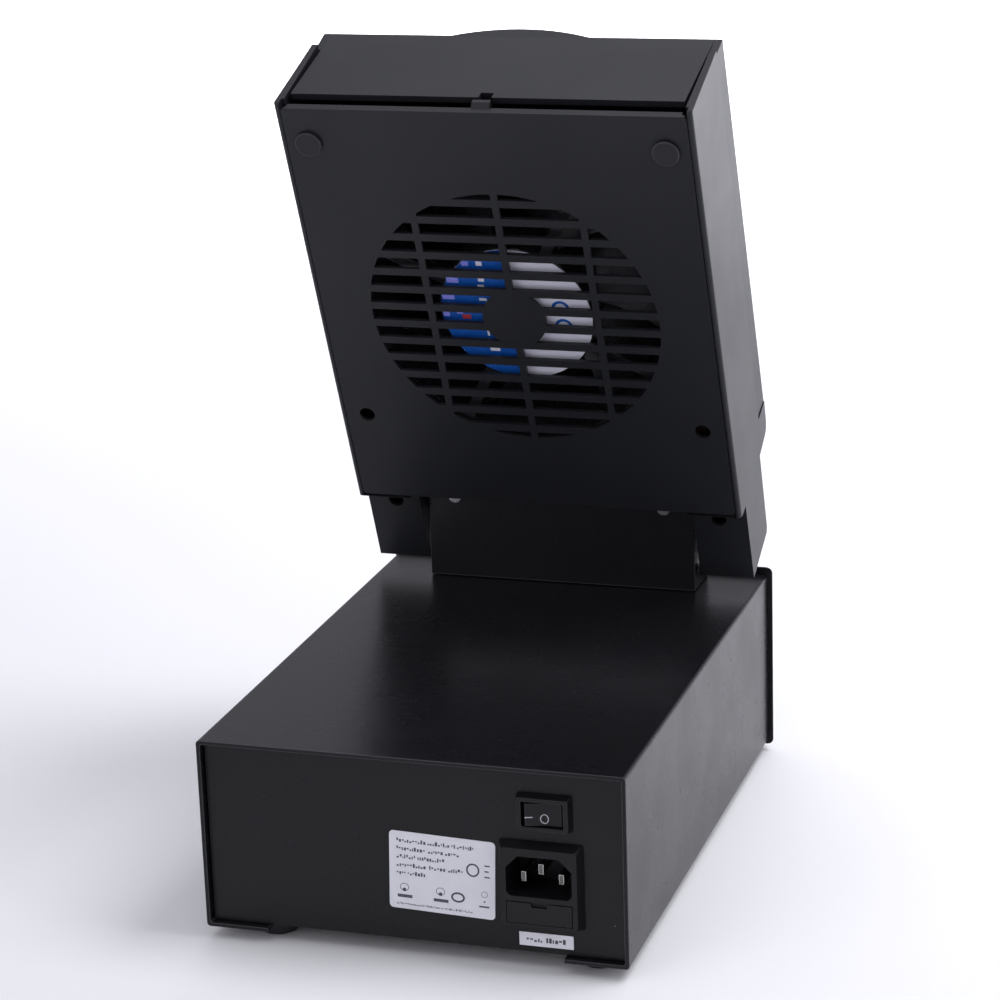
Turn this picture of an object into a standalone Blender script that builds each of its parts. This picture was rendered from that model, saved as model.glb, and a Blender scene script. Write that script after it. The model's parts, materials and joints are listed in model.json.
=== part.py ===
"""Solder fume extractor: a fan head that tilts over a soldering station base.

Lengths are in millimetres in the working frame (Y = 0 at the rear edge of the base,
Z = 0 under the sleeve) and are moved to metres, feet on Z = 0, when a node is made.
The head is drawn in its own frame: across, along the rear plate, and into the head.
"""
import math

import bmesh
import bpy
from mathutils import Matrix, Vector

MM = 0.001

# Base
BASE_W = 161.6
BASE_D = 227.5
BASE_H = 73.5
SHEET = 1.6
FLANGE_IN = 24.2
PANEL_SET = 3.0
FOOT_H = 5.0
FOOT_R = 8.0
BEZEL_OVER = 2.0
BEZEL_LOW = -1.9
BEZEL_HIGH = 76.6
BEZEL_D = 6.0
BEZEL_IN = 1.9

# Rear panel fittings: centre across, centre up
SWITCH_AT = (-50.0, 56.4)
SWITCH_SIZE = (20.8, 14.2)
ROCKER_LEAN = 8.0
INLET_AT = (-48.45, 28.7)
INLET_SIZE = (31.4, 32.8)
INLET_PROUD = 4.5
PIN_GAP = 14.0
PIN_UP = 2.1
EARTH_UP = 6.1

# Neck and hinge
NECK_W = 113.6
NECK_Y = -199.5
NECK_D = 21.5
NECK_TOP = 114.0
NECK_SCREW = (44.5, 109.1)
HEAD_TILT = 67.5
HEAD_FOOT = (-180.7, 113.2)
HINGE_ALONG = -23.0
HINGE_IN = 26.4

# Head
HEAD_W = 161.4
HEAD_FRONT_W = 159.4
EDGE_R = 1.5
PLATE_L = 186.5
WALL = 2.0
END_LIP = 3.1
SIDE_IN = 45.0
FRONT_IN = 57.4
CHEEK_BACK = 8.4
CHEEK_FRONT = 39.8
CHEEK_L = 39.5
CHEEK_X = 58.2
RAIL_TOP = 13.8
COVER_FOOT = 14.2
COVER_AXIS = (16.0, 57.0)
BUMPER = (69.4, 171.4)
BUMPER_R = 5.2
BUMPER_H = 1.5

# Grille and fan
FAN_AT = 92.5
GRILLE_R = 58.0
SLOT_PITCH = 8.25
SLOT_H = 5.0
RIB_AT = (-33.5, 0.0, 33.5)
RIB_W = 2.7
HUB_R = 12.8
FAN_SIZE = 119.6
FAN_IN = (3.2, 41.2)
FAN_HUB_R = 31.0
FAN_BORE_R = 57.8
BLADES = 7

# The middle of the whole object, front to back
MIDDLE_Y = -116.95

PAINT = ("black paint", (0.030, 0.030, 0.034), 0.42, 0.0)
PLASTIC = ("black plastic", (0.022, 0.022, 0.025), 0.50, 0.0)
MATT = ("matt black plastic", (0.024, 0.024, 0.028), 0.48, 0.0)
RUBBER = ("black rubber", (0.020, 0.020, 0.020), 0.85, 0.0)
STEEL = ("bright steel", (0.60, 0.60, 0.61), 0.30, 1.0)
BRASS = ("nickel contact", (0.72, 0.70, 0.64), 0.28, 1.0)
PAPER = ("white label", (0.86, 0.86, 0.90), 0.55, 0.0)
BLUE = ("blue label", (0.03, 0.15, 0.62), 0.40, 0.0)
LENS = ("smoked lens", (0.10, 0.02, 0.02), 0.12, 0.0)
LAMP = ("lamp lens", (0.86, 0.88, 0.90), 0.20, 0.0)
BOARD = ("green board", (0.02, 0.16, 0.07), 0.45, 0.0)
COPPER = ("wound copper", (0.60, 0.24, 0.10), 0.40, 1.0)
IRON = ("core laminations", (0.28, 0.28, 0.30), 0.45, 1.0)
FOAM = ("carbon foam", (0.035, 0.035, 0.038), 0.95, 0.0)
GREY = ("grey rubber", (0.30, 0.31, 0.33), 0.75, 0.0)
GLASS = ("fuse glass", (0.75, 0.78, 0.78), 0.10, 0.0)


def clear_scene():
    for item in list(bpy.data.objects):
        bpy.data.objects.remove(item, do_unlink=True)


def material(spec):
    name, colour, rough, metal = spec
    found = bpy.data.materials.get(name)
    if found:
        return found
    made = bpy.data.materials.new(name)
    made.use_nodes = True
    shader = made.node_tree.nodes["Principled BSDF"]
    shader.inputs["Base Color"].default_value = (*colour, 1.0)
    shader.inputs["Roughness"].default_value = rough
    shader.inputs["Metallic"].default_value = metal
    made.diffuse_color = (*colour, 1.0)
    return made


def temp(bm):
    bmesh.ops.recalc_face_normals(bm, faces=bm.faces)
    mesh = bpy.data.meshes.new("temp")
    bm.to_mesh(mesh)
    bm.free()
    item = bpy.data.objects.new("temp", mesh)
    bpy.context.scene.collection.objects.link(item)
    item.hide_render = True
    item.display_type = "WIRE"
    return item


def prism(points, low, high, axis="z"):
    """A solid pushed along an axis from a flat outline in the other two."""
    place = {
        "x": lambda a, b, c: (c, a, b),
        "y": lambda a, b, c: (a, c, b),
        "z": lambda a, b, c: (a, b, c),
    }[axis]
    bm = bmesh.new()
    first = [bm.verts.new(place(a, b, low)) for a, b in points]
    last = [bm.verts.new(place(a, b, high)) for a, b in points]
    bm.faces.new(first)
    bm.faces.new(last)
    count = len(points)
    for i in range(count):
        j = (i + 1) % count
        bm.faces.new((first[i], first[j], last[j], last[i]))
    return temp(bm)


def box(x, y, z):
    return prism([(x[0], y[0]), (x[1], y[0]), (x[1], y[1]), (x[0], y[1])], z[0], z[1])


def circle(centre, radius, count=32, start=0.0, sweep=360.0):
    full = abs(sweep) >= 360.0
    steps = count if full else count + 1
    out = []
    for i in range(steps):
        turn = math.radians(start + sweep * i / count)
        out.append((centre[0] + radius * math.cos(turn), centre[1] + radius * math.sin(turn)))
    return out


def rod(centre, radius, low, high, axis="z", count=32):
    return prism(circle(centre, radius, count), low, high, axis)


def rounded(half_x, half_y, radius, centre=(0.0, 0.0), steps=5):
    out = []
    for k, (sx, sy) in enumerate(((1, 1), (-1, 1), (-1, -1), (1, -1))):
        middle = (centre[0] + sx * (half_x - radius), centre[1] + sy * (half_y - radius))
        out += circle(middle, radius, steps, 90.0 * k, 90.0)
    return out


def taper(low_outline, high_outline, low, high):
    """A solid along Y whose outline changes evenly from one end to the other."""
    bm = bmesh.new()
    ends = []
    for y, outline in ((low, low_outline), (high, high_outline)):
        ends.append([bm.verts.new((a, y, b)) for a, b in outline])
        bm.faces.new(ends[-1])
    count = len(ends[0])
    for i in range(count):
        j = (i + 1) % count
        bm.faces.new((ends[0][i], ends[0][j], ends[1][j], ends[1][i]))
    return temp(bm)


def merge(parts):
    """Several separate solids as one working object."""
    bm = bmesh.new()
    for part in parts:
        bm.from_mesh(part.data)
        bpy.data.objects.remove(part, do_unlink=True)
    return temp(bm)


def combine(target, tool, operation):
    mod = target.modifiers.new("bool", "BOOLEAN")
    mod.operation = operation
    mod.solver = "EXACT"
    mod.object = tool
    graph = bpy.context.evaluated_depsgraph_get()
    mesh = bpy.data.meshes.new_from_object(target.evaluated_get(graph))
    target.modifiers.clear()
    target.data = mesh
    bpy.data.objects.remove(tool, do_unlink=True)
    return target


def cut(target, *tools):
    for tool in tools:
        combine(target, tool, "DIFFERENCE")
    return target


def fuse(target, *tools):
    for tool in tools:
        combine(target, tool, "UNION")
    return target


def keep(target, tool):
    return combine(target, tool, "INTERSECT")


def head_matrix():
    tilt = math.radians(HEAD_TILT)
    along = Vector((0.0, math.cos(tilt), math.sin(tilt)))
    inward = Vector((0.0, -math.sin(tilt), math.cos(tilt)))
    out = Matrix.Identity(4)
    for row in range(3):
        out[row][1] = along[row]
        out[row][2] = inward[row]
    out[1][3] = HEAD_FOOT[0]
    out[2][3] = HEAD_FOOT[1]
    return out


HEAD = head_matrix()


def node(name, item, spec, pivot=(0.0, 0.0, 0.0), frame=None, smooth=None):
    """Turn a working object into a finished node, its origin on the given pivot."""
    mesh = item.data
    spot = Vector(pivot)
    if frame is not None:
        mesh.transform(frame)
        spot = frame @ spot
    shift = Vector((0.0, -MIDDLE_Y, FOOT_H))
    mesh.transform(Matrix.Translation(-spot))
    mesh.transform(Matrix.Scale(MM, 4))
    bm = bmesh.new()
    bm.from_mesh(mesh)
    bmesh.ops.remove_doubles(bm, verts=bm.verts, dist=0.000002)
    bmesh.ops.dissolve_limit(bm, angle_limit=0.002, verts=bm.verts, edges=bm.edges)
    bmesh.ops.triangulate(bm, faces=bm.faces)
    bmesh.ops.recalc_face_normals(bm, faces=bm.faces)
    bm.to_mesh(mesh)
    bm.free()
    mesh.materials.clear()
    mesh.materials.append(material(spec))
    if smooth is not None:
        mesh.shade_smooth()
        mesh.set_sharp_from_angle(angle=math.radians(smooth))
    item.name = name
    mesh.name = name
    item.location = (spot + shift) * MM
    item.hide_render = False
    item.display_type = "TEXTURED"
    return item


# ---------------------------------------------------------------- base


def sleeve():
    half = BASE_W / 2
    y = (-BASE_D, 0.0)
    body = prism(rounded(half, BASE_H / 2, 1.4, (0.0, BASE_H / 2), 3), y[0], y[1], "y")
    inside = (half - SHEET, BASE_H / 2 - SHEET)
    hollow = prism(rounded(inside[0], inside[1], 0.4, (0.0, BASE_H / 2), 1), y[0] - 1, y[1] + 1, "y")
    gap = half - FLANGE_IN
    mouth = box((-gap, gap), (y[0] - 1, 1), (-1, SHEET + 0.5))
    cut(body, hollow, mouth)
    slots = [box((s * 40 - 5, s * 40 + 5), (-212, -209), (BASE_H - 3, BASE_H + 1)) for s in (-1, 1)]
    cable = rod((0.0, -210.5), 6.0, BASE_H - 3, BASE_H + 1)
    cut(body, merge(slots + [cable]))
    return node("base_sleeve", body, PAINT)


def chassis():
    half = BASE_W / 2 - SHEET - 0.5
    floor = SHEET + 0.3
    back = -PANEL_SET
    outline = [(back, floor), (back, BASE_H - SHEET - 0.3), (back - 1.5, BASE_H - SHEET - 0.3)]
    outline += [(back - 1.5, floor + 1.5), (-BASE_D + 4, floor + 1.5), (-BASE_D + 4, floor)]
    body = prism(outline, -half, half, "x")
    sx, sz = SWITCH_AT
    ix, iz = INLET_AT
    holes = [
        box((sx - 9.0, sx + 9.0), (back - 4, back + 4), (sz - 6.0, sz + 6.0)),
        box((ix - 13.4, ix + 13.4), (back - 4, back + 4), (iz - 14.6, iz + 14.6)),
    ]
    vents = []
    for i in range(9):
        vents.append(box((-30 + 7 * i, -27.4 + 7 * i), (-130, -90), (floor - 1, floor + 3)))
    cut(body, merge(holes + vents))
    return node("base_chassis", body, PAINT)


def bezel():
    half = BASE_W / 2 + BEZEL_OVER
    tall = (BEZEL_HIGH - BEZEL_LOW) / 2
    middle = (BEZEL_LOW + BEZEL_HIGH) / 2
    front = -BASE_D - 0.3 - BEZEL_D
    back = -BASE_D - 0.3
    wide_end = rounded(half, tall, 2.4, (0.0, middle))
    front_end = rounded(half - BEZEL_IN, tall - BEZEL_IN, 2.4, (0.0, middle))
    body = taper(front_end, wide_end, front, back)
    face = prism(rounded(half - 4.9, tall - 4.9, 2.5, (0.0, middle)), front - 1, front + 1.4, "y")
    rear = prism(rounded(half - 5.3, tall - 5.3, 2.0, (0.0, middle)), front + 3.6, back + 1, "y")
    cut(body, face, rear)
    window = box((-4.0, 54.0), (front - 2, back + 2), (36.0, 60.0))
    socket = rod((-52.0, 28.0), 8.4, front - 2, back + 2, "y")
    keys = [rod(at, 4.6, front - 2, back + 2, "y", 24) for at in KEY_SPOTS.values()]
    cut(body, merge([window, socket] + keys))
    for at in BOARD_POSTS:
        fuse(body, rod(at, 2.6, front + 3.0, front + 11.7, "y", 12))
    return node("front_bezel", body, PLASTIC)


KEY_SPOTS = {
    "temp_down_button": (2.0, 22.0),
    "temp_up_button": (20.0, 22.0),
    "fan_button": (38.0, 22.0),
    "lamp_button": (56.0, 22.0),
}


BOARD_POSTS = [(-30.0, 14.0), (-30.0, 60.0), (62.0, 14.0), (62.0, 60.0)]


def front_fittings():
    front = -BASE_D - 0.3 - BEZEL_D
    pane = box((-3.7, 53.7), (front + 1.8, front + 3.3), (36.3, 59.7))
    node("display_lens", pane, LENS)
    for name, at in KEY_SPOTS.items():
        cap = rod(at, 4.2, front - 0.6, front + 4.2, "y", 24)
        fuse(cap, rod(at, 5.6, front + 4.0, front + 5.4, "y", 24))
        node(name, cap, GREY, (at[0], front + 2.0, at[1]))
    body = rod((-52.0, 28.0), 8.0, front - 1.0, front + 16.0, "y")
    fuse(body, rod((-52.0, 28.0), 10.6, front - 1.9, front + 1.1, "y"))
    sink = rod((-52.0, 28.0), 6.6, front - 3.0, front + 5.0, "y")
    cut(body, sink)
    pins = [rod((-52.0 + 3.8 * math.cos(a), 28.0 + 3.8 * math.sin(a)), 0.7, front, front + 9.0, "y", 8)
            for a in [math.radians(-20 + 55 * i) for i in range(5)]]
    cut(body, merge(pins))
    node("iron_socket", body, STEEL)
    board = box((-36.0, 66.0), (front + 12.0, front + 13.6), (10.0, 64.0))
    chip = box((10.0, 30.0), (front + 8.0, front + 12.3), (42.0, 54.0))
    fuse(board, chip)
    for at in KEY_SPOTS.values():
        fuse(board, rod(at, 2.2, front + 7.0, front + 12.3, "y", 12))
    node("control_board", board, BOARD)


def transformer():
    cx, cy, base = 32.0, -86.0, 3.8
    core = box((cx - 33, cx + 33), (cy - 18, cy + 18), (base, base + 55))
    windows = [box((cx + s * 16.5 - 5.5, cx + s * 16.5 + 5.5), (cy - 20, cy + 20), (base + 11, base + 44))
               for s in (-1, 1)]
    cut(core, merge(windows))
    node("transformer_core", core, IRON)
    coil = box((cx - 21.6, cx + 21.6), (cy - 29, cy + 29), (base + 11.4, base + 43.6))
    cut(coil, box((cx - 11.4, cx + 11.4), (cy - 18.4, cy + 18.4), (base + 9, base + 46)))
    node("transformer_winding", coil, COPPER)


def main_board():
    board = box((-62.0, -8.0), (-150.0, -60.0), (9.0, 10.6))
    parts = [box((-56, -40), (-140, -122), (10.3, 24)), rod((-22, -130), 6.0, 10.3, 30.0, "z", 20),
             rod((-22, -112), 6.0, 10.3, 30.0, "z", 20), box((-50, -20), (-92, -76), (10.3, 20))]
    legs = [rod((x, y), 3.0, 3.7, 9.3, "z", 12) for x in (-58.0, -12.0) for y in (-146.0, -64.0)]
    for part in parts + legs:
        fuse(board, part)
    node("main_board", board, BOARD)


def switch():
    sx, sz = SWITCH_AT
    hx, hz = SWITCH_SIZE[0] / 2, SWITCH_SIZE[1] / 2
    back = -PANEL_SET
    foot = rounded(hx, hz, 0.8, (sx, sz), 2)
    rim = rounded(hx - 0.9, hz - 0.9, 0.8, (sx, sz), 2)
    body = taper(foot, rim, back + 0.2, back + 3.4)
    fuse(body, box((sx - 8.7, sx + 8.7), (back - 16, back + 0.6), (sz - 5.7, sz + 5.7)))
    cut(body, box((sx - 7.7, sx + 7.7), (back - 9, back + 6), (sz - 4.7, sz + 4.7)))
    node("switch_housing", body, PLASTIC)
    pivot = (sx, back, sz)
    outline = [(-6.6, 3.1), (-6.9, 2.0), (-5.4, -3.8), (0.0, -6.2)]
    outline += [(5.4, -3.8), (6.9, 2.0), (6.6, 3.1), (0.0, 2.1)]
    rocker = prism(outline, sz - 4.3, sz + 4.3, "z")
    rocker.data.transform(Matrix.Rotation(math.radians(ROCKER_LEAN), 4, "Z"))
    rocker.data.transform(Matrix.Translation((pivot[0], pivot[1], 0.0)))
    node("switch_rocker", rocker, PLASTIC, pivot)


def inlet():
    ix, iz = INLET_AT
    hx, hz = INLET_SIZE[0] / 2, INLET_SIZE[1] / 2
    back = -PANEL_SET
    front = back + INLET_PROUD
    foot = rounded(hx, hz, 1.2, (ix, iz), 3)
    rim = rounded(hx - 1.6, hz - 1.6, 1.2, (ix, iz), 3)
    body = taper(foot, rim, back + 0.2, front)
    fuse(body, box((ix - 13.1, ix + 13.1), (back - 20, back + 0.6), (iz - 14.3, iz + 14.3)))
    top = iz + 11.9
    low = iz - 3.5
    half = 12.2
    mouth = [(ix - half, low + 1.5), (ix - half + 1.5, low), (ix + half - 1.5, low), (ix + half, low + 1.5)]
    mouth += [(ix + half, top - 4.6), (ix + half - 4.6, top), (ix - half + 4.6, top), (ix - half, top - 4.6)]
    cut(body, prism(mouth, back - 13, front + 1, "y"))
    cut(body, box((ix - 12.3, ix + 12.3), (back - 17, front + 1), (iz - 14.0, iz - 5.5)))
    spots = {"live": (-PIN_GAP / 2, PIN_UP), "neutral": (PIN_GAP / 2, PIN_UP), "earth": (0.0, EARTH_UP)}
    slots = [box((ix + a - 1.1, ix + a + 1.1), (back - 21, back - 12), (iz + b - 2.1, iz + b + 2.1))
             for a, b in spots.values()]
    cut(body, merge(slots))
    node("inlet_housing", body, PLASTIC)
    for name, (a, b) in spots.items():
        reach = back + 1.0 if name == "earth" else back - 0.5
        pin = box((ix + a - 1.0, ix + a + 1.0), (back - 26, reach), (iz + b - 2.0, iz + b + 2.0))
        node("inlet_pin_" + name, pin, BRASS)
    drawer = box((ix - 12.0, ix + 12.0), (back - 15.5, front + 0.3), (iz - 13.7, iz - 5.8))
    cut(drawer, box((ix - 3.0, ix + 3.0), (front - 1.2, front + 1), (iz - 7.4, iz - 5)))
    cut(drawer, box((ix - 10.6, ix + 10.6), (back - 14, back - 3), (iz - 12.6, iz - 5)))
    node("fuse_drawer", drawer, PLASTIC, (ix, back, iz - 9.7))
    fuse_body = rod((back - 8.5, iz - 9.2), 2.5, ix - 10.2, ix + 10.2, "x", 20)
    node("fuse_link", fuse_body, GLASS, (ix, back, iz - 9.7))


def labels():
    y = (-PANEL_SET + 0.1, -PANEL_SET + 0.35)
    plate = prism(rounded(20.0, 15.1, 1.5, (0.0, 0.0), 4), y[0], y[1], "y")
    plate.data.transform(Matrix.Rotation(math.radians(-1.9), 4, "Y"))
    plate.data.transform(Matrix.Translation((-11.0, 0.0, 28.6)))
    node("rating_label", plate, PAPER)
    node("fuse_label", box((-59.6, -39.4), y, (4.4, 9.6)), PAPER)


def feet():
    spots = {
        "foot_rear_left": (58.2, -15.5),
        "foot_rear_right": (-66.0, -15.5),
        "foot_front_left": (64.0, -205.0),
        "foot_front_right": (-64.0, -205.0),
    }
    for name, at in spots.items():
        low = rod(at, FOOT_R - 1.0, -FOOT_H, -0.3)
        bm = bmesh.new()
        bm.from_mesh(low.data)
        for vert in bm.verts:
            if vert.co.z > -1.0:
                side = Vector((vert.co.x - at[0], vert.co.y - at[1], 0.0))
                vert.co += side * (1.0 / (FOOT_R - 1.0))
        bm.to_mesh(low.data)
        bm.free()
        node(name, low, RUBBER)


def neck():
    half = NECK_W / 2
    back = NECK_Y
    front = NECK_Y - NECK_D
    low = BASE_H + 0.3
    body = box((-half, half), (front, back), (low, NECK_TOP))
    cut(body, box((1.5 - half, half - 1.5), (front + 1.5, back - 1.5), (low + 1.5, NECK_TOP + 5)))
    cut(body, box((4 - half, half - 4), (front - 2, back - 4), (NECK_TOP - 9, NECK_TOP + 5)))
    along, inward = HINGE_ALONG, HINGE_IN
    spot = HEAD @ Vector((0.0, along, inward))
    cut(body, rod((spot.y, spot.z), 3.3, -half - 5, half + 5, "x", 24))
    across, up = NECK_SCREW
    screws = [rod((s * across, up), 1.8, back - 5, back + 5, "y", 16) for s in (-1, 1)]
    openings = [rod((0.0, -210.5), 6.0, low - 2, low + 4)]
    openings += [box((s * 40 - 5, s * 40 + 5), (-212, -209), (low - 2, low + 4)) for s in (-1, 1)]
    cut(body, merge(screws + openings))
    node("neck_bracket", body, PAINT)
    for side, s in (("left", 1), ("right", -1)):
        head = rod((s * across, up), 2.9, back + 0.3, back + 2.3, "y", 24)
        fuse(head, rod((s * across, up), 1.5, back - 8, back + 0.5, "y", 16))
        cross = [box((s * across - 1.8, s * across + 1.8), (back + 1.3, back + 3), (up - 0.4, up + 0.4))]
        cut(head, merge(cross))
        node("neck_screw_" + side, head, STEEL)
        x = (half - 4.5, CHEEK_X + WALL + 0.4)
        bolt = rod((spot.y, spot.z), 3.0, s * x[0], s * x[1], "x", 24)
        fuse(bolt, rod((spot.y, spot.z), 6.0, s * (x[1] - 0.1), s * (x[1] + 3.4), "x", 24))
        fuse(bolt, rod((spot.y, spot.z), 5.0, s * (x[0] - 2.5), s * (x[0] + 2.6), "x", 6))
        node("pivot_bolt_" + side, bolt, STEEL, (s * x[0], spot.y, spot.z))
    return spot


# ---------------------------------------------------------------- head


def hinge_point():
    return (0.0, HINGE_ALONG, HINGE_IN)


def head_shell():
    """Side walls, floor, lamp rail and both cheeks in one piece. Outline is (along, in)."""
    half = HEAD_W / 2
    side = [(-1.0, -1.0), (PLATE_L + 1.2, -1.0), (PLATE_L + 1.9, 1.5), (PLATE_L + 0.5, SIDE_IN)]
    side += [(RAIL_TOP, SIDE_IN), (RAIL_TOP, FRONT_IN), (4.5, 56.6), (1.4, 55.4), (0.2, 53.8), (-1.2, 40.3)]
    side += [(-37.0, 38.5), (-39.1, 36.9), (-CHEEK_L, CHEEK_BACK), (-1.8, CHEEK_BACK + 0.4)]
    body = prism(side, -half - 1.0, half + 1.0, "x")
    keep(body, prism(head_section(), -60.0, 200.0, "y"))
    cut(body, box((-CHEEK_X, CHEEK_X), (-60, 0.0), (-10, 80)))
    cut(body, box((WALL - half, half - WALL), (WALL, 181.0), (-10, SIDE_IN + 0.5)))
    cut(body, box((END_LIP - half, half - END_LIP), (180.0, 400), (-10, SIDE_IN + 0.5)))
    cut(body, box((WALL - half, half - WALL), (180.0, 400), (-10, 4.0)))
    cut(body, box((WALL - half, half - WALL), (-1.0, 400), (-10, 1.9)))
    cut(body, box((WALL - half, half - WALL), (WALL, 300), (SIDE_IN, FRONT_IN - 2.0)))
    for s in (-1, 1):
        inner = sorted((s * (CHEEK_X + WALL), s * (half - WALL)))
        room = [(-2.2, CHEEK_BACK + WALL + 0.4), (-2.2, 38.2), (-36.2, 36.4), (WALL - CHEEK_L, 35.2)]
        room += [(WALL - CHEEK_L, CHEEK_BACK + WALL)]
        cut(body, prism(room, inner[0], inner[1], "x"))
        cut(body, rod((HINGE_ALONG, HINGE_IN), 3.4, s * (CHEEK_X - 3), s * (CHEEK_X + 5), "x", 24))
        cut(body, rod((s * 68.6, -9.8), 3.2, 0, CHEEK_BACK + 4, "z", 24))
        post = rod((s * 69.4, 41.9), 4.2, 9.5, 40.0, "z", 20)
        reach = sorted((s * 70.0, s * (half - WALL + 0.4)))
        fuse(post, box(reach, (40.9, 42.9), (9.5, 40.0)))
        cut(post, rod((s * 69.4, 41.9), 1.7, 0, 24.0, "z", 16))
        fuse(body, post)
        stub = rod((s * 68.6, -9.8), 4.0, 16.0, CHEEK_FRONT - 1.0, "z", 20)
        cut(stub, rod((s * 68.6, -9.8), 1.7, 10.0, 30.0, "z", 16))
        fuse(body, stub)
    window = box((-61.0, 61.0), (3.4, 10.6), (FRONT_IN - 6, FRONT_IN + 3))
    cut(body, window)
    cut(body, rod((0.0, 22.0), 6.0, -2, 4, "y"))
    for s in (-1, 1):
        reach = sorted((s * 52.0, s * (half - WALL + 0.4)))
        for along in (FAN_AT - 52.5, FAN_AT + 52.5):
            tab = box(reach, (along - 5.0, along + 5.0), (FAN_IN[1] + 0.3, FAN_IN[1] + 2.1))
            fuse(body, tab)
    return node("head_shell", body, MATT, hinge_point(), HEAD, 30)


def head_section():
    """The head's outline seen from its top end: sides drawn in towards the front, rear edges rounded."""
    half = HEAD_W / 2
    out = circle((half - EDGE_R, EDGE_R), EDGE_R, 5, 0.0, -90.0)
    out += circle((EDGE_R - half, EDGE_R), EDGE_R, 5, -90.0, -90.0)
    return out + [(-HEAD_FRONT_W / 2, FRONT_IN + 1.0), (HEAD_FRONT_W / 2, FRONT_IN + 1.0)]


def slot_outlines():
    """The open slots: rows clipped to the round grille and split by the upright ribs."""
    rim = circle((0.0, FAN_AT), GRILLE_R, 96)
    edges = [-GRILLE_R - 5]
    for at in RIB_AT:
        edges += [at - RIB_W / 2, at + RIB_W / 2]
    edges.append(GRILLE_R + 5)
    out = []
    for row in range(-7, 8):
        middle = FAN_AT + row * SLOT_PITCH
        for k in range(0, len(edges), 2):
            shape = [(edges[k], middle - SLOT_H / 2), (edges[k + 1], middle - SLOT_H / 2),
                     (edges[k + 1], middle + SLOT_H / 2), (edges[k], middle + SLOT_H / 2)]
            shape = clip(shape, rim)
            if len(shape) > 2 and abs(area(shape)) > 1.0:
                out.append(shape)
    return out


def area(shape):
    total = 0.0
    for i, (x, y) in enumerate(shape):
        nx, ny = shape[(i + 1) % len(shape)]
        total += x * ny - nx * y
    return total / 2


def clip(shape, rim):
    """Keep the part of a convex outline inside a convex rim, both counter-clockwise."""
    count = len(rim)
    for i in range(count):
        ax, ay = rim[i]
        bx, by = rim[(i + 1) % count]
        kept = []
        for j in range(len(shape)):
            px, py = shape[j]
            qx, qy = shape[(j + 1) % len(shape)]
            dp = (bx - ax) * (py - ay) - (by - ay) * (px - ax)
            dq = (bx - ax) * (qy - ay) - (by - ay) * (qx - ax)
            if dp >= 0:
                kept.append((px, py))
            if (dp >= 0) != (dq >= 0):
                t = dp / (dp - dq)
                kept.append((px + t * (qx - px), py + t * (qy - py)))
        shape = kept
        if not shape:
            return []
    return shape


def grille_plate():
    half = HEAD_W / 2 - WALL - 0.3
    middle = (PLATE_L + 0.3) / 2
    body = prism(rounded(half, PLATE_L / 2 - 0.15, 1.6, (0.0, middle), 3), 0.0, 1.6, "z")
    lip = box((-half + 2, half - 2), (PLATE_L - 1.5, PLATE_L), (0.8, 3.3))
    fuse(body, lip)
    catch = prism([(PLATE_L - 1.0, 1.0), (PLATE_L + 1.6, 4.6), (PLATE_L + 1.6, 6.4), (PLATE_L - 1.0, 6.4)],
                  -3.2, 3.8, "x")
    fuse(body, catch)
    tools = merge([prism(shape, -1.0, 3.0, "z") for shape in slot_outlines()])
    cut(tools, rod((0.0, FAN_AT), HUB_R, -2.0, 4.0, "z", 48))
    cut(body, tools)
    holes = merge([rod((s * 69.4, 41.9), 3.2, -1, 3, "z", 24) for s in (-1, 1)])
    cut(body, holes)
    return node("rear_grille_plate", body, MATT, hinge_point(), HEAD, 30)


def head_small_parts():
    for side, s in (("left", 1), ("right", -1)):
        pad = rod((s * BUMPER[0], BUMPER[1]), BUMPER_R, -BUMPER_H, -0.1, "z", 32)
        node("bumper_" + side, pad, RUBBER, hinge_point(), HEAD, 30)
        for name, at, top in (("plate_screw_", (69.4, 41.9), 9.2), ("cheek_screw_", (68.6, -9.8), 15.7)):
            head = rod((s * at[0], at[1]), 2.7, top - 2.2, top, "z", 20)
            fuse(head, rod((s * at[0], at[1]), 1.4, top - 0.2, top + 10.0, "z", 12))
            cut(head, box((s * at[0] - 1.6, s * at[0] + 1.6), (at[1] - 0.4, at[1] + 0.4), (top - 3, top - 1.2)))
            node(name + side, head, STEEL, hinge_point(), HEAD)
    strip = box((-60.5, 60.5), (3.9, 10.1), (FRONT_IN - 5.7, FRONT_IN - 4.7))
    for i in range(9):
        x = -52.0 + 13.0 * i
        fuse(strip, box((x - 1.4, x + 1.4), (5.6, 8.4), (FRONT_IN - 4.9, FRONT_IN - 3.5)))
    node("lamp_strip", strip, BOARD, hinge_point(), HEAD)
    lens = box((-60.7, 60.7), (3.7, 10.3), (FRONT_IN - 3.2, FRONT_IN - 0.9))
    node("lamp_lens", lens, LAMP, hinge_point(), HEAD)


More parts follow.
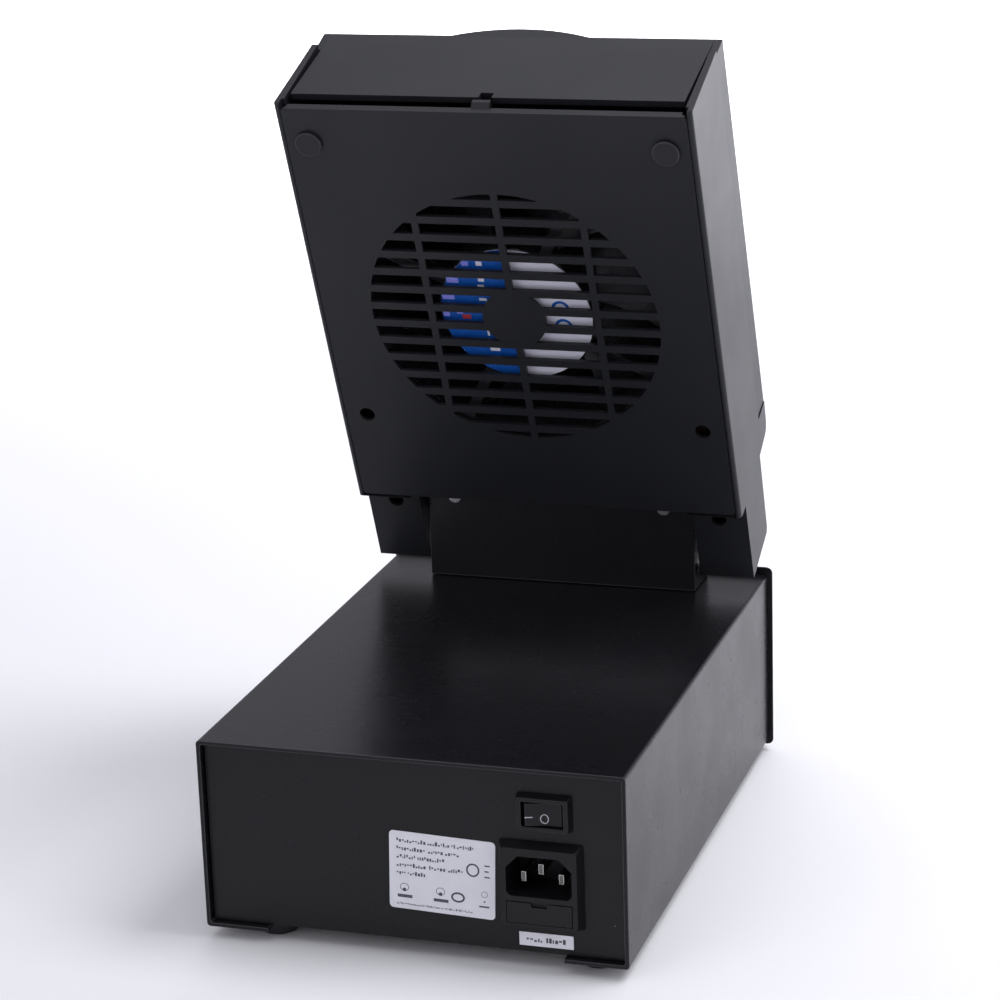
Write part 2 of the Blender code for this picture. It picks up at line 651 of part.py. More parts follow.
def fan():
    low, high = FAN_IN
    half = FAN_SIZE / 2
    frame = prism(rounded(half, half, 5.0, (0.0, FAN_AT), 4), low, high, "z")
    cut(frame, rod((0.0, FAN_AT), FAN_BORE_R, low - 1, high + 1, "z", 64))
    holes = [rod((a * 52.5, FAN_AT + b * 52.5), 2.2, low - 1, high + 1, "z", 12) for a in (-1, 1) for b in (-1, 1)]
    cut(frame, merge(holes))
    waist = [box((a, a + 9.0), (FAN_AT - 45, FAN_AT + 45), (low + 5, high - 5)) for a in (-half - 7.6, half - 1.4)]
    cut(frame, merge(waist))
    motor = rod((0.0, FAN_AT), FAN_HUB_R, low + 0.7, low + 6.0, "z", 48)
    for k in range(4):
        turn = math.radians(28 + 90 * k)
        arm = box((FAN_HUB_R - 2, FAN_BORE_R + 1.0), (-2.2, 2.2), (low + 0.9, low + 4.6))
        arm.data.transform(Matrix.Translation((0.0, FAN_AT, 0.0)) @ Matrix.Rotation(turn, 4, "Z"))
        fuse(motor, arm)
    fuse(frame, motor)
    node("fan_frame", frame, PLASTIC, hinge_point(), HEAD, 30)
    disc = rod((0.0, FAN_AT), 30.4, low + 0.3, low + 0.6, "z", 48)
    node("fan_hub_label", disc, BLUE, hinge_point(), HEAD)
    rotor = rod((0.0, FAN_AT), FAN_HUB_R - 0.6, low + 6.6, high - 2.5, "z", 48)
    for k in range(BLADES):
        fuse(rotor, blade(360.0 * k / BLADES, low + 8.5, high - 4.0))
    node("fan_rotor", rotor, PLASTIC, (0.0, FAN_AT, low + 6.6), HEAD, 30)


def blade(start, low, high):
    """One swept, twisted blade from inside the hub to just short of the bore."""
    bm = bmesh.new()
    radii = (FAN_HUB_R - 3.0, 38.0, 47.0, FAN_BORE_R - 1.6)
    faces = []
    for lift in (-0.8, 0.8):
        grid = []
        for i, r in enumerate(radii):
            span = 44.0 - 4.0 * i
            row = []
            for j in range(5):
                t = j / 4.0
                turn = math.radians(start + 7.0 * i + span * (t - 0.5))
                rise = low + 2.0 + (high - low - 4.0) * (1.0 - t) + lift
                row.append(bm.verts.new((r * math.cos(turn), FAN_AT + r * math.sin(turn), rise)))
            grid.append(row)
        faces.append(grid)
    rows, columns = len(radii), 5
    for grid in faces:
        for i in range(rows - 1):
            for j in range(columns - 1):
                bm.faces.new((grid[i][j], grid[i + 1][j], grid[i + 1][j + 1], grid[i][j + 1]))
    a, b = faces
    for i in range(rows - 1):
        for j in (0, columns - 1):
            bm.faces.new((a[i][j], a[i + 1][j], b[i + 1][j], b[i][j]))
    for j in range(columns - 1):
        for i in (0, rows - 1):
            bm.faces.new((a[i][j], a[i][j + 1], b[i][j + 1], b[i][j]))
    bmesh.ops.triangulate(bm, faces=bm.faces)
    return temp(bm)


def filter_cover():
    half = HEAD_W / 2 - END_LIP - 1.3
    top = PLATE_L + 1.6
    wide = 79.4
    front = box((-wide, wide), (COVER_FOOT, 184.3), (SIDE_IN + 0.3, FRONT_IN))
    cut(front, box((-wide + 2.2, wide - 2.2), (COVER_FOOT + 2.2, 181.0), (0.0, FRONT_IN - 2.2)))
    wall = prism([(top, 8.0), (184.3, FRONT_IN - 0.6), (181.5, FRONT_IN - 0.6), (top - 2.6, 8.0)], -half, half, "x")
    fuse(front, wall)
    notch = box((-2.9, 2.1), (180, 200), (6, 11.6))
    arc = circle((0.0, FRONT_IN - 67.2), 72.8, 24, 67.4, 45.2)
    lip = prism(arc + [(-28.0, FRONT_IN - 2.0), (28.0, FRONT_IN - 2.0)], 180.2, 184.2, "y")
    fuse(front, lip)
    slots = []
    for row in range(12):
        s = 36.0 + row * 10.0
        for x0, x1 in ((-62.0, -22.5), (-19.5, 19.5), (22.5, 62.0)):
            slots.append(box((x0, x1), (s, s + 6.0), (FRONT_IN - 5, FRONT_IN + 3)))
    cut(front, merge([notch] + slots))
    ribs = [box((s * 67.1 - 0.75, s * 67.1 + 0.75), (30, 158), (49.0, FRONT_IN - 1.5)) for s in (-1, 1)]
    ribs += [box((-60, 60), (at - 0.75, at + 0.75), (49.0, FRONT_IN - 1.5)) for at in (26.9, 161.1)]
    for rib in ribs:
        fuse(front, rib)
    pivot = (0.0, COVER_AXIS[0], COVER_AXIS[1])
    node("filter_cover", front, MATT, pivot, HEAD, 30)
    pad = box((-66.0, 66.0), (28.0, 160.0), (46.0, FRONT_IN - 2.5))
    node("carbon_filter", pad, FOAM, pivot, HEAD)


def build():
    clear_scene()
    sleeve()
    chassis()
    bezel()
    front_fittings()
    transformer()
    main_board()
    switch()
    inlet()
    labels()
    feet()
    neck()
    head_shell()
    grille_plate()
    head_small_parts()
    fan()
    filter_cover()


build()
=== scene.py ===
"""Looks for the solder fume extractor: materials, printed marks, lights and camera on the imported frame."""
import json
import math
import random

import bmesh
import bpy
from mathutils import Matrix, Vector
from mathutils.bvhtree import BVHTree


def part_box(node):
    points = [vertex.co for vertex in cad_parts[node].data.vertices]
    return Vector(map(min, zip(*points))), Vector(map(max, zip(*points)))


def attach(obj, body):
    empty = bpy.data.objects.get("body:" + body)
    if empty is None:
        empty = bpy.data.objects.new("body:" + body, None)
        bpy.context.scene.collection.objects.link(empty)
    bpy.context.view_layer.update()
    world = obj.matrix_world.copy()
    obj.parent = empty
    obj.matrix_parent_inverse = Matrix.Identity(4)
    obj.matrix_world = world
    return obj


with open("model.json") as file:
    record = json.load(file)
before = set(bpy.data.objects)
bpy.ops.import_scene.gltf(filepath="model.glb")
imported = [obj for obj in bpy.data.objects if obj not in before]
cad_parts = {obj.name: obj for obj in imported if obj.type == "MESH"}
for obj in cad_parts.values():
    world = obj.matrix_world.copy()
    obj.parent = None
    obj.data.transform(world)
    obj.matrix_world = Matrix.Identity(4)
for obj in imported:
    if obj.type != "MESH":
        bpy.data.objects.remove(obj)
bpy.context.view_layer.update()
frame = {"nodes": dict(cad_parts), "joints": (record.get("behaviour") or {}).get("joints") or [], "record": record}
NODES = frame["nodes"]
MM = 0.001

# ---------------------------------------------------------------- where things are

JOINTS = {j["name"]: j for j in frame["joints"]}
INWARD = Vector(JOINTS["fan_spin"]["axis"]).normalized()      # into the head, away from the grille
ALONG = INWARD.cross(Vector((1, 0, 0)))                       # up the grille plate
FAN_AT = 92.5                                                 # the fan's middle, in mm up the plate
FAN_DEEP = 9.8                                                # the fan joint's place, in mm into the head
HEAD_ZERO = Vector(JOINTS["fan_spin"]["pos_m"]) - ALONG * FAN_AT * MM - INWARD * FAN_DEEP * MM


def head_matrix():
    """Plate frame: x across, y up the plate, z into the head."""
    rot = Matrix((Vector((1, 0, 0)), ALONG, INWARD)).transposed()
    return Matrix.Translation(HEAD_ZERO) @ rot.to_4x4()


def wall_matrix(middle):
    """A frame on the rear panel as seen from behind: x to the right, y up, z out of the wall."""
    rot = Matrix((Vector((-1, 0, 0)), Vector((0, 0, 1)), Vector((0, 1, 0)))).transposed()
    return Matrix.Translation(middle) @ rot.to_4x4()


def front_matrix(middle):
    """A frame on the front panel: x to the right, y up, z out of the panel."""
    rot = Matrix((Vector((1, 0, 0)), Vector((0, 0, 1)), Vector((0, -1, 0)))).transposed()
    return Matrix.Translation(middle) @ rot.to_4x4()


def surface(node):
    """A node's faces, ready for ray casts."""
    mesh = NODES[node].data
    return BVHTree.FromPolygons([v.co for v in mesh.vertices], [tuple(f.vertices) for f in mesh.polygons])


def landing(node, point, direction):
    """Where a line from a point in mm first meets a node, as a frame: z out of the surface, y up along it."""
    spot, out, _, _ = surface(node).ray_cast(Vector(point) * MM, Vector(direction))
    if out.dot(Vector(direction)) > 0:
        out = -out
    side = Vector((0, 0, 1)).cross(out).normalized()
    rot = Matrix((side, out.cross(side), out)).transposed()
    return Matrix.Translation(spot) @ rot.to_4x4()


# ---------------------------------------------------------------- node tree helpers


SOCKETS = {
    "colour": "Base Color", "rough": "Roughness", "metal": "Metallic", "spec": "Specular IOR Level",
    "normal": "Normal", "coat": "Coat Weight", "coat_rough": "Coat Roughness", "ior": "IOR",
    "through": "Transmission Weight", "under": "Subsurface Weight",
}


class Tree:
    """A material's nodes, with short calls for the few kinds used here."""

    def __init__(self, name):
        self.mat = bpy.data.materials.new(name)
        self.mat.use_nodes = True
        self.nodes = self.mat.node_tree.nodes
        self.links = self.mat.node_tree.links
        self.nodes.clear()
        self.out = self.nodes.new("ShaderNodeOutputMaterial")
        self.shader = self.nodes.new("ShaderNodeBsdfPrincipled")
        self.links.new(self.shader.outputs[0], self.out.inputs[0])
        self.where = self.nodes.new("ShaderNodeTexCoord").outputs["Object"]

    def put(self, socket, value):
        if isinstance(value, bpy.types.NodeSocket):
            self.links.new(value, socket)
        else:
            socket.default_value = value

    def set(self, **values):
        for key, value in values.items():
            self.put(self.shader.inputs[SOCKETS[key]], value)
        return self

    def texture(self, kind, **values):
        """A texture node on object coordinates, with numbers or colours for its named inputs."""
        node = self.nodes.new(kind)
        self.links.new(self.where, node.inputs["Vector"])
        for key, value in values.items():
            node.inputs[key].default_value = value
        return node

    def stripes(self, direction, scale):
        node = self.texture("ShaderNodeTexWave", Scale=scale)
        node.wave_type = "BANDS"
        node.bands_direction = direction
        return node.outputs["Fac"]

    def stretch(self, by):
        node = self.nodes.new("ShaderNodeMapping")
        self.links.new(self.where, node.inputs["Vector"])
        node.inputs["Scale"].default_value = by
        return node.outputs[0]

    def noise(self, scale, detail=2.0, rough=0.5, where=None):
        node = self.nodes.new("ShaderNodeTexNoise")
        self.links.new(where or self.where, node.inputs["Vector"])
        node.inputs["Scale"].default_value = scale
        node.inputs["Detail"].default_value = detail
        node.inputs["Roughness"].default_value = rough
        return node.outputs["Fac"]

    def cells(self, scale):
        return self.texture("ShaderNodeTexVoronoi", Scale=scale).outputs["Distance"]

    def span(self, value, low, high, to_low, to_high):
        node = self.nodes.new("ShaderNodeMapRange")
        self.put(node.inputs["Value"], value)
        for key, number in (("From Min", low), ("From Max", high), ("To Min", to_low), ("To Max", to_high)):
            node.inputs[key].default_value = number
        return node.outputs[0]

    def math(self, kind, a, b=0.0):
        node = self.nodes.new("ShaderNodeMath")
        node.operation = kind
        self.put(node.inputs[0], a)
        self.put(node.inputs[1], b)
        return node.outputs[0]

    def mix(self, share, a, b):
        node = self.nodes.new("ShaderNodeMix")
        node.data_type = "RGBA"
        self.put(node.inputs["Factor"], share)
        self.put(node.inputs[6], a)
        self.put(node.inputs[7], b)
        return node.outputs[2]

    def bump(self, height, strength, distance, under=None):
        node = self.nodes.new("ShaderNodeBump")
        self.put(node.inputs["Height"], height)
        node.inputs["Strength"].default_value = strength
        node.inputs["Distance"].default_value = distance
        if under is not None:
            self.links.new(under, node.inputs["Normal"])
        return node.outputs[0]


def rgb(r, g, b):
    return (r, g, b, 1.0)


def grey(value, blue=1.12):
    return rgb(value, value, value * blue)


def shade(colour, by, lift=0.0):
    """A colour made darker or lighter, at most white."""
    return [min(1.0, c * by + lift) for c in colour[:3]] + [1.0]


# ---------------------------------------------------------------- materials


def painted(name, colour, rough, orange=0.35, specks=True):
    """Satin powder coat on sheet steel: orange peel, cloudy gloss, a few dust specks and a fine grain."""
    t = Tree(name)
    cloud = t.noise(9.0, 3.0, 0.55)
    tone = t.mix(t.span(cloud, 0.35, 0.65, 0.0, 1.0), shade(colour, 0.86), shade(colour, 1.16))
    if specks:
        dust = t.span(t.cells(95.0), 0.0, 0.034, 1.0, 0.0)
        keep = t.span(t.noise(38.0, 0.0), 0.62, 0.66, 0.0, 1.0)
        tone = t.mix(t.math("MULTIPLY", t.math("MULTIPLY", dust, keep), 0.6), tone, grey(0.45, 1.0))
    fine = t.noise(1500.0, 1.0, 0.5)
    wide = t.noise(330.0, 2.0, 0.5)
    normal = t.bump(fine, 0.10, 0.00006, t.bump(wide, orange, 0.00010))
    shine = t.span(t.noise(26.0, 4.0, 0.6), 0.3, 0.7, rough - 0.03, rough + 0.04)
    t.set(colour=tone, rough=shine, spec=0.25, normal=normal)
    return t.mat


def moulded(name, colour, rough, grain=0.25, scale=1100.0):
    """Fine-grained black moulding: spark-eroded texture, faint flow marks."""
    t = Tree(name)
    flow = t.noise(7.0, 3.0, 0.6, t.stretch((1.0, 0.45, 0.45)))
    tone = t.mix(t.span(flow, 0.35, 0.65, 0.0, 1.0), shade(colour, 0.88), shade(colour, 1.14))
    pits = t.cells(scale)
    fine = t.noise(scale * 1.7, 1.0, 0.5)
    normal = t.bump(pits, grain, 0.00005, t.bump(fine, grain * 0.6, 0.00004))
    shine = t.span(t.noise(19.0, 3.0, 0.6), 0.3, 0.7, rough - 0.03, rough + 0.03)
    t.set(colour=tone, rough=shine, spec=0.25, normal=normal)
    return t.mat


def rubbery(name, colour, rough=0.62):
    """Matt rubber, a little dusty in patches."""
    t = Tree(name)
    dusty = t.span(t.noise(120.0, 4.0, 0.7), 0.45, 0.75, 0.0, 0.5)
    t.set(colour=t.mix(dusty, colour, shade(colour, 1.9)), rough=rough, spec=0.4,
          normal=t.bump(t.noise(900.0, 3.0, 0.6), 0.25, 0.00006))
    return t.mat


def metal(name, colour, rough, brushed=(1.0, 1.0, 1.0), scale=700.0):
    """Bare or plated metal with fine lines, drawn out where brushed is not all ones."""
    t = Tree(name)
    lines = t.noise(scale, 3.0, 0.6, t.stretch(brushed))
    patches = t.span(t.noise(60.0, 3.0), 0.3, 0.7, 0.0, 1.0)
    t.set(colour=t.mix(patches, shade(colour, 0.82), colour), metal=1.0,
          rough=t.span(lines, 0.3, 0.7, rough * 0.75, rough * 1.3), normal=t.bump(lines, 0.12, 0.00005))
    return t.mat


def paper(name, colour, rough=0.34):
    """Printed vinyl label stock, a little glossy and not quite flat."""
    t = Tree(name)
    mottle = t.span(t.noise(180.0, 4.0, 0.6), 0.3, 0.7, 0.0, 1.0)
    t.set(colour=t.mix(mottle, shade(colour, 0.95), colour), rough=rough, spec=0.45,
          normal=t.bump(t.noise(55.0, 2.0), 0.10, 0.0003))
    return t.mat


def ink(name, colour, rough=0.42):
    """Printed ink, a little uneven."""
    t = Tree(name)
    patch = t.span(t.noise(1400.0, 2.0), 0.35, 0.65, 0.0, 1.0)
    t.set(colour=t.mix(patch, colour, shade(colour, 1.3, 0.01)), rough=rough, spec=0.4)
    return t.mat


def fan_black():
    """The fan's black, glossier than the case, with cloudy patches."""
    t = Tree("fan_black_metal")
    t.set(colour=t.mix(t.span(t.noise(30.0, 3.0), 0.3, 0.7, 0.0, 1.0), grey(0.010), grey(0.020)),
          rough=t.span(t.noise(90.0, 3.0), 0.3, 0.7, 0.24, 0.38), spec=0.6,
          normal=t.bump(t.noise(420.0, 2.0), 0.25, 0.0001))
    return t.mat


def circuit(name):
    """Green solder mask with faint tracks."""
    t = Tree(name)
    tracks = t.nodes.new("ShaderNodeTexBrick")
    t.links.new(t.stretch((130.0, 130.0, 130.0)), tracks.inputs["Vector"])
    tracks.inputs["Color1"].default_value = rgb(0.012, 0.085, 0.035)
    tracks.inputs["Color2"].default_value = rgb(0.016, 0.110, 0.045)
    tracks.inputs["Mortar"].default_value = rgb(0.030, 0.170, 0.075)
    tracks.inputs["Mortar Size"].default_value = 0.06
    t.set(colour=tracks.outputs["Color"], rough=0.33, spec=0.5,
          normal=t.bump(tracks.outputs["Fac"], 0.2, 0.0001))
    return t.mat


def foam(name):
    """Open-celled foam, with painted shade darkening its holes."""
    t = Tree(name)
    holes = t.cells(520.0)
    # painted shade: darker towards the middle of each cell, where the bump sinks in
    t.set(colour=t.mix(t.span(holes, 0.1, 0.6, 0.0, 1.0), grey(0.004), grey(0.026)), rough=0.95, spec=0.2,
          normal=t.bump(holes, 1.0, 0.0009))
    return t.mat


def winding(name):
    """Turns of enamelled copper wire, lighter on each turn's crown and darker between turns: painted highlight and
    shade.
    """
    t = Tree(name)
    turns = t.stripes("Z", 420.0)
    # painted highlight and shade: the colour bands follow the bump's height across each turn
    t.set(colour=t.mix(turns, rgb(0.22, 0.07, 0.02), rgb(0.62, 0.24, 0.08)), metal=0.9, rough=0.32,
          normal=t.bump(turns, 0.6, 0.0003))
    return t.mat


def laminated(name):
    """The edges of stacked steel plates."""
    t = Tree(name)
    plates = t.stripes("Y", 320.0)
    t.set(colour=t.mix(plates, grey(0.05, 1.0), grey(0.16, 1.0)), metal=0.8, rough=0.45,
          normal=t.bump(plates, 0.5, 0.0003))
    return t.mat


def smoked(name, colour):
    """A glossy dark window."""
    t = Tree(name)
    patches = t.span(t.noise(40.0, 2.0), 0.3, 0.7, 0.0, 1.0)
    t.set(colour=t.mix(patches, colour, shade(colour, 0.7)), rough=0.07, spec=0.5, coat=0.4, coat_rough=0.04,
          normal=t.bump(t.noise(60.0, 2.0), 0.03, 0.0002))
    return t.mat


def milky(name):
    """A ribbed, milky lamp lens."""
    t = Tree(name)
    ribs = t.stripes("X", 150.0)
    t.set(colour=t.mix(ribs, rgb(0.72, 0.76, 0.80), rgb(0.84, 0.87, 0.90)), rough=0.28, spec=0.5, under=0.1,
          normal=t.bump(ribs, 0.35, 0.0004))
    return t.mat


def glassy(name):
    t = Tree(name)
    t.set(colour=t.mix(t.noise(80.0, 2.0), rgb(0.80, 0.84, 0.84), rgb(0.92, 0.94, 0.94)), rough=0.05, ior=1.5,
          through=0.9)
    return t.mat


PAINT = painted("base_paint_satin", rgb(0.0060, 0.0060, 0.0075), 0.27)
# lighter paint on the bevelled edges: partly bare, worn sheet edges and partly a painted highlight along them
PAINT_EDGE_WEAR_AND_HIGHLIGHT = painted("base_paint_worn_edge_and_highlight", rgb(0.040, 0.040, 0.047), 0.30, 0.1, False)
PLASTIC = moulded("head_plastic_grained", rgb(0.0160, 0.0166, 0.0195), 0.38)
# painted highlight: a lighter copy of the head plastic for the bevelled edges
PLASTIC_EDGE_HIGHLIGHT = moulded("head_plastic_edge_highlight", rgb(0.022, 0.022, 0.026), 0.34, 0.1)
TRIM = moulded("base_plastic_grained", rgb(0.0070, 0.0072, 0.0086), 0.36, 0.2, 1300.0)
# painted highlight: a lighter copy of the base plastic for the bevelled edges
TRIM_EDGE_HIGHLIGHT = moulded("base_plastic_edge_highlight", rgb(0.020, 0.020, 0.023), 0.30, 0.1)
RUBBER = rubbery("bumper_rubber", rgb(0.013, 0.012, 0.0155))
# painted highlight: a lighter copy of the bumper rubber for the bevelled edges
RUBBER_EDGE_HIGHLIGHT = rubbery("bumper_edge_highlight", rgb(0.045, 0.042, 0.052), 0.45)
FOOT = rubbery("foot_rubber", rgb(0.020, 0.020, 0.023))
STEEL = metal("screw_steel", rgb(0.70, 0.70, 0.72), 0.22)
BLACK_STEEL = metal("black_screw_steel", rgb(0.045, 0.045, 0.050), 0.34)
DULL_STEEL = metal("dull_screw_steel", rgb(0.26, 0.26, 0.27), 0.30)
# painted shade and glint: the pins' faces are a darkened copy of the plated metal, and their bevelled edges a
# bright copy that stands in for glints
PIN_SHADED = metal("plated_pin_shaded", rgb(0.14, 0.14, 0.14), 0.28, (1.0, 0.1, 1.0))
PIN_EDGE_GLINT = metal("plated_pin_edge_glint", rgb(0.50, 0.49, 0.46), 0.24, (1.0, 0.1, 1.0))
LABEL = paper("label_white", rgb(0.75, 0.75, 0.80))
INK = ink("label_ink", rgb(0.045, 0.042, 0.055))
PRINT = ink("label_fine_print", rgb(0.060, 0.056, 0.075))
SEGMENT = ink("unlit_segment", rgb(0.034, 0.014, 0.014), 0.2)
MARK = ink("switch_mark_white", rgb(0.40, 0.40, 0.44), 0.5)
BLUE = ink("fan_label_blue", rgb(0.003, 0.080, 0.38), 0.3)
SILVER = paper("fan_label_silver", rgb(0.84, 0.83, 0.94), 0.3)
VIOLET = ink("fan_label_violet", rgb(0.26, 0.27, 0.86), 0.3)
RED = ink("fan_label_red", rgb(0.45, 0.04, 0.05), 0.3)
FAN = fan_black()
# painted glint: the fan's bevelled edges get a lighter bare-metal grey that stands in for glints on struts, ring
# and blades
FAN_EDGE_GLINT = metal("fan_edge_glint", rgb(0.16, 0.16, 0.17), 0.22)
BOARD = circuit("solder_mask")
FOAM = foam("open_foam")
COPPER = winding("enamelled_copper")
CORE = laminated("core_laminations")
SMOKED = smoked("smoked_window", rgb(0.012, 0.006, 0.007))
MILKY = milky("milky_lens")
KEY = rubbery("key_rubber", rgb(0.16, 0.165, 0.18), 0.5)
GLASS = glassy("fuse_glass")
LEGEND = ink("front_legend", rgb(0.60, 0.60, 0.64), 0.5)

# slot: (material, material of its bevelled edges); the edge materials are lighter copies, a painted highlight
# along the edges (on the base paint also bare, worn edges)
FINISH = {
    "base_paint": (PAINT, PAINT_EDGE_WEAR_AND_HIGHLIGHT),
    "base_plastic": (TRIM, TRIM_EDGE_HIGHLIGHT),
    "head_plastic": (PLASTIC, PLASTIC_EDGE_HIGHLIGHT),
    "rubber": (RUBBER, RUBBER_EDGE_HIGHLIGHT),
    "steel": (STEEL, STEEL),
    "contact": (PIN_SHADED, PIN_EDGE_GLINT),
    "label": (LABEL, LABEL),
    "fan_label": (SILVER, SILVER),
    "fan_metal": (FAN, FAN_EDGE_GLINT),
    "display": (SMOKED, SMOKED),
    "lamp": (MILKY, MILKY),
    "key": (KEY, KEY),
    "board": (BOARD, BOARD),
    "core": (CORE, CORE),
    "copper": (COPPER, COPPER),
    "foam": (FOAM, FOAM),
    "fuse_glass": (GLASS, GLASS),
}
# the same for nodes that look different from the rest of their slot, by how their names start
SPECIAL = {
    "fan_rotor": (FAN, FAN_EDGE_GLINT),
    "foot_": (FOOT, FOOT),
    "plate_screw_": (BLACK_STEEL, BLACK_STEEL),
    "cheek_screw_": (BLACK_STEEL, BLACK_STEEL),
    "pivot_bolt_": (BLACK_STEEL, BLACK_STEEL),
    "neck_screw_": (DULL_STEEL, DULL_STEEL),
}
# how far a node's edges are rounded, in mm, by how its name starts; everything else gets PLAIN_EDGE
PLAIN_EDGE = 0.25
EDGE = {
    "base_sleeve": 0.45, "base_chassis": 0.35, "front_bezel": 0.6, "neck_bracket": 0.4, "foot_": 0.6,
    "switch_housing": 0.3, "switch_rocker": 0.35, "inlet_housing": 0.35, "inlet_pin_": 0.3, "fuse_link": 0.4,
    "head_shell": 0.45, "rear_grille_plate": 0.30, "filter_cover": 0.45, "bumper_": 0.35,
    "fan_frame": 0.5, "fan_rotor": 0.35, "carbon_filter": 1.2,
    "rating_label": 0.0, "fuse_label": 0.0, "fan_hub_label": 0.0,
}
# nodes whose flat faces stay in triangles, because merged ones fold over their notches
KEEP_TRIANGLES = {"head_shell", "filter_cover"}

WELD_WITHIN = 0.00001
FLAT_UNDER = 0.4        # degrees between faces that are merged
SHARP_OVER = 32.0       # degrees between faces that are bevelled
SMOOTH_UNDER = 30.0     # degrees between faces that are shaded as one


def by_start(table, name, otherwise):
    """The entry of a table for the start of a node's name."""
    for start, entry in table.items():
        if name.startswith(start):
            return entry
    return otherwise


def finish_nodes():
    """Give each CAD node its material, and round its sharp edges with a bevel that leaves the mesh alone."""
    slots = {s["node"]: s["material_slot"] for s in frame["record"]["subparts"]}
    for name, obj in NODES.items():
        obj.data.materials.clear()
        for material in by_start(SPECIAL, name, FINISH[slots[name]]):
            obj.data.materials.append(material)
        for polygon in obj.data.polygons:
            polygon.material_index = 0
        round_edges(obj, by_start(EDGE, name, PLAIN_EDGE), name not in KEEP_TRIANGLES)


def round_edges(obj, size, merge):
    """Modifiers that weld a node, merge its flat faces if asked, and bevel and shade its edges."""
    weld = obj.modifiers.new("weld", "WELD")
    weld.merge_threshold = WELD_WITHIN
    if size <= 0:
        return
    if merge:
        flat = obj.modifiers.new("merge_flats", "DECIMATE")
        flat.decimate_type = "DISSOLVE"
        flat.angle_limit = math.radians(FLAT_UNDER)
    bevel = obj.modifiers.new("edge", "BEVEL")
    bevel.width = size * MM
    bevel.segments = 2
    bevel.limit_method = "ANGLE"
    bevel.angle_limit = math.radians(SHARP_OVER)
    bevel.use_clamp_overlap = True
    bevel.harden_normals = False
    # the bevel's faces take slot 1, the lighter edge material: painted highlight along the edges
    bevel.material = 1
    bevel.miter_outer = "MITER_SHARP"
    smooth = obj.modifiers.new("shade", "NODES")
    smooth.node_group = smooth_group()
    level = obj.modifiers.new("flat_faces_flat", "WEIGHTED_NORMAL")
    level.mode = "FACE_AREA"
    level.weight = 100
    level.keep_sharp = True


def smooth_group():
    """A geometry node group that shades smooth where faces meet at under SMOOTH_UNDER."""
    name = "shade_by_angle"
    if name in bpy.data.node_groups:
        return bpy.data.node_groups[name]
    group = bpy.data.node_groups.new(name, "GeometryNodeTree")
    group.interface.new_socket("Geometry", in_out="INPUT", socket_type="NodeSocketGeometry")
    group.interface.new_socket("Geometry", in_out="OUTPUT", socket_type="NodeSocketGeometry")
    start = group.nodes.new("NodeGroupInput")
    end = group.nodes.new("NodeGroupOutput")
    faces = group.nodes.new("GeometryNodeSetShadeSmooth")
    edges = group.nodes.new("GeometryNodeSetShadeSmooth")
    edges.domain = "EDGE"
    turn = group.nodes.new("GeometryNodeInputMeshEdgeAngle")
    test = group.nodes.new("FunctionNodeCompare")
    test.data_type = "FLOAT"
    test.operation = "LESS_THAN"
    test.inputs[1].default_value = math.radians(SMOOTH_UNDER)
    group.links.new(turn.outputs["Unsigned Angle"], test.inputs[0])
    group.links.new(start.outputs[0], faces.inputs["Geometry"])
    group.links.new(faces.outputs[0], edges.inputs["Geometry"])
    group.links.new(test.outputs[0], edges.inputs["Shade Smooth"])
    group.links.new(edges.outputs[0], end.inputs[0])
    return group


# ---------------------------------------------------------------- pieces


def piece(name, bm, matrix, material, body):
    """A finished mesh from bm, placed by matrix, riding on body."""
    bmesh.ops.recalc_face_normals(bm, faces=bm.faces)
    mesh = bpy.data.meshes.new(name)
    bm.to_mesh(mesh)
    bm.free()
    mesh.transform(matrix)
    if matrix.determinant() < 0:
        mesh.flip_normals()
    obj = bpy.data.objects.new(name, mesh)
    bpy.context.scene.collection.objects.link(obj)
    mesh.materials.append(material)
    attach(obj, body)
    return obj


def slab(bm, outline, low, high):
    """A prism on an outline of (x, y) points between two heights."""
    bottom = [bm.verts.new((x * MM, y * MM, low * MM)) for x, y in outline]
    top = [bm.verts.new((x * MM, y * MM, high * MM)) for x, y in outline]
    bm.faces.new(bottom[::-1])
    bm.faces.new(top)
    count = len(outline)
    for i in range(count):
        j = (i + 1) % count
        bm.faces.new((bottom[i], bottom[j], top[j], top[i]))


def ring(bm, centre, outer, inner, low, high, start=0.0, end=360.0, steps=36):
    """A flat ring or arc between two radii, each (x, y)."""
    whole = abs(end - start) >= 360.0
    rows = []
    for i in range(steps if whole else steps + 1):
        a = math.radians(start + (end - start) * i / steps)
        c, s = math.cos(a), math.sin(a)
        row = []
        for radius, height in ((outer, low), (outer, high), (inner, high), (inner, low)):
            x, y = centre[0] + radius[0] * c, centre[1] + radius[1] * s
            row.append(bm.verts.new((x * MM, y * MM, height * MM)))
        rows.append(row)
    for i in range(len(rows) if whole else len(rows) - 1):
        a, b = rows[i], rows[(i + 1) % len(rows)]
        for k in range(4):
            bm.faces.new((a[k], b[k], b[(k + 1) % 4], a[(k + 1) % 4]))
    if not whole:
        bm.faces.new(rows[0][::-1])
        bm.faces.new(rows[-1])


def bar(bm, x0, y0, x1, y1, low, high):
    slab(bm, [(x0, y0), (x1, y0), (x1, y1), (x0, y1)], low, high)


def disc(bm, centre, radius, low, high, steps=32):
    turns = [2 * math.pi / steps * i for i in range(steps)]
    slab(bm, [(centre[0] + radius * math.cos(a), centre[1] + radius * math.sin(a)) for a in turns], low, high)


# ---------------------------------------------------------------- printed marks

PRINT_LIFT = (0.01, 0.05)     # how far the labels' print stands off their faces, in mm
LEGEND_LIFT = (0.0, 0.05)
LABEL_TURN = -1.9             # how far the rating label is stuck on askew, in degrees


